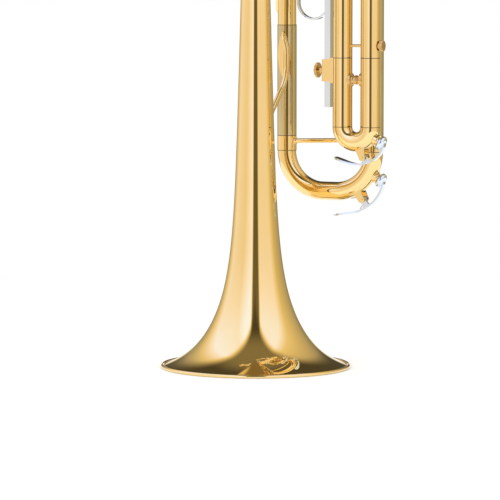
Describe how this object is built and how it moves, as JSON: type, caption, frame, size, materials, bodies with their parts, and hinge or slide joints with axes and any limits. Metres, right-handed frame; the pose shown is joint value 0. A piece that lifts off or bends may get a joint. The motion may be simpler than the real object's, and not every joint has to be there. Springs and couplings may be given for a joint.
{
  "type": "trumpet",
  "caption": "Lacquered piston-valve trumpet standing on its bell, with tuning slide, valve slides, water keys, adjustable finger ring and mouthpiece.",
  "frame": {"origin": "centre of the bell mouth, on the plane of the bell rim", "axes": "+Z along the bell axis towards the mouthpiece end; +X towards the bottom valve caps; +Y towards the leadpipe, the player's right"},
  "size_m": [0.154, 0.1514, 0.5475],
  "materials": {
    "lacquered_brass": "polished brass under clear gold lacquer",
    "nickel_silver": "nickel silver under clear lacquer, slightly olive",
    "inner_tube_nickel": "bare nickel silver, honed, lightly greased",
    "chrome_plate": "bright plating",
    "silver_plate": "silver-plated brass, polished",
    "piston_nickel": "lapped nickel alloy",
    "spring_steel": "drawn spring wire",
    "guide_nylon": "moulded nylon",
    "pearl": "mother-of-pearl disc",
    "felt": "dense wool felt",
    "cork": "cut cork"
  },
  "bodies": {
    "trumpet_body": {"bell": "lacquered_brass", "valve_elbows": "lacquered_brass", "bell_ferrule": "lacquered_brass", "leadpipe": "lacquered_brass", "mouthpiece_receiver": "lacquered_brass", "tuning_slide_outer_tubes": "nickel_silver", "third_slide_outer_tubes": "lacquered_brass", "third_slide_stop": "lacquered_brass", "short_slide_outer_tubes": "lacquered_brass", "valve_knuckles": "lacquered_brass", "valve_top_caps": "lacquered_brass", "valve_bottom_caps": "lacquered_brass", "valve_springs": "spring_steel", "valve_guides": "guide_nylon", "valve_braces": "lacquered_brass", "bell_braces": "lacquered_brass", "pinky_hook": "lacquered_brass", "valve_casing_1": "lacquered_brass", "valve_casing_2": "lacquered_brass", "valve_casing_3": "lacquered_brass"},
    "main_tuning_slide": {"tuning_slide_tubes": "inner_tube_nickel", "tuning_slide_bow": "lacquered_brass", "tuning_slide_ferrules": "lacquered_brass", "tuning_slide_brace": "lacquered_brass", "main_water_key_seat": "lacquered_brass", "main_water_key_spring": "spring_steel"},
    "main_water_key": {"main_water_key_lever": "chrome_plate", "main_water_key_cork": "cork"},
    "third_slide": {"third_slide_tubes": "inner_tube_nickel", "third_slide_sleeves": "lacquered_brass", "third_slide_bow": "lacquered_brass", "third_slide_brace": "lacquered_brass", "third_water_key_seat": "lacquered_brass", "third_water_key_spring": "spring_steel", "ring_block": "lacquered_brass"},
    "third_water_key": {"third_water_key_lever": "chrome_plate", "third_water_key_cork": "cork"},
    "finger_ring": {"finger_ring": "chrome_plate"},
    "thumb_screw": {"ring_thumb_screw": "lacquered_brass"},
    "first_slide": {"first_slide_tubes": "inner_tube_nickel", "first_slide_bow": "lacquered_brass", "thumb_saddle": "lacquered_brass"},
    "second_slide": {"second_slide_tubes": "inner_tube_nickel", "second_slide_bow": "lacquered_brass"},
    "mouthpiece": {"mouthpiece": "silver_plate"},
    "valve_1": {"valve_piston_1": "piston_nickel", "valve_stem_1": "lacquered_brass", "finger_button_1": "lacquered_brass", "button_pearl_1": "pearl", "valve_felts_1": "felt"},
    "valve_2": {"valve_piston_2": "piston_nickel", "valve_stem_2": "lacquered_brass", "finger_button_2": "lacquered_brass", "button_pearl_2": "pearl", "valve_felts_2": "felt"},
    "valve_3": {"valve_piston_3": "piston_nickel", "valve_stem_3": "lacquered_brass", "finger_button_3": "lacquered_brass", "button_pearl_3": "pearl", "valve_felts_3": "felt"}
  },
  "joints": [
    {"name": "main_slide", "type": "slide", "parent": "trumpet_body", "child": "main_tuning_slide", "axis": [0, 0, -1], "range_m": [0, 0.045]},
    {"name": "main_key", "type": "hinge", "parent": "main_tuning_slide", "child": "main_water_key", "pos_m": [0.0547, 0.049, 0.1073], "axis": [0, 1, 0], "range_deg": [0, 14], "stiffness_Nm_per_rad": 0.02, "springref_deg": -22.92, "deforming": ["main_water_key_spring"]},
    {"name": "third_valve_slide", "type": "slide", "parent": "trumpet_body", "child": "third_slide", "axis": [0, 0, -1], "range_m": [0, 0.045]},
    {"name": "third_key", "type": "hinge", "parent": "third_slide", "child": "third_water_key", "pos_m": [0.0632, 0.03, 0.1358], "axis": [0, 1, 0], "range_deg": [0, 14], "stiffness_Nm_per_rad": 0.02, "springref_deg": -22.92, "deforming": ["third_water_key_spring"]},
    {"name": "ring_adjust", "type": "slide", "parent": "third_slide", "child": "finger_ring", "axis": [0, 0, -1], "range_m": [-0.004, 0.018]},
    {"name": "ring_screw", "type": "hinge", "parent": "third_slide", "child": "thumb_screw", "pos_m": [0.0311, 0.03, 0.1916], "axis": [1, 0, 0], "range_deg": [0, 270]},
    {"name": "first_valve_slide", "type": "slide", "parent": "trumpet_body", "child": "first_slide", "axis": [0, 0, 1], "range_m": [0, 0.015]},
    {"name": "second_valve_slide", "type": "slide", "parent": "trumpet_body", "child": "second_slide", "axis": [0, 1, 0], "range_m": [0, 0.012]},
    {"name": "mouthpiece_pull", "type": "slide", "parent": "trumpet_body", "child": "mouthpiece", "axis": [0, 0, 1], "range_m": [0, 0.03]},
    {"name": "valve_stroke_1", "type": "slide", "parent": "trumpet_body", "child": "valve_1", "axis": [1, 0, 0], "range_m": [0, 0.0165], "stiffness_N_per_m": 50, "springref_m": -0.025, "deforming": ["valve_springs"]},
    {"name": "valve_stroke_2", "type": "slide", "parent": "trumpet_body", "child": "valve_2", "axis": [1, 0, 0], "range_m": [0, 0.0165], "stiffness_N_per_m": 50, "springref_m": -0.025, "deforming": ["valve_springs"]},
    {"name": "valve_stroke_3", "type": "slide", "parent": "trumpet_body", "child": "valve_3", "axis": [1, 0, 0], "range_m": [0, 0.0165], "stiffness_N_per_m": 50, "springref_m": -0.025, "deforming": ["valve_springs"]}
  ]
}
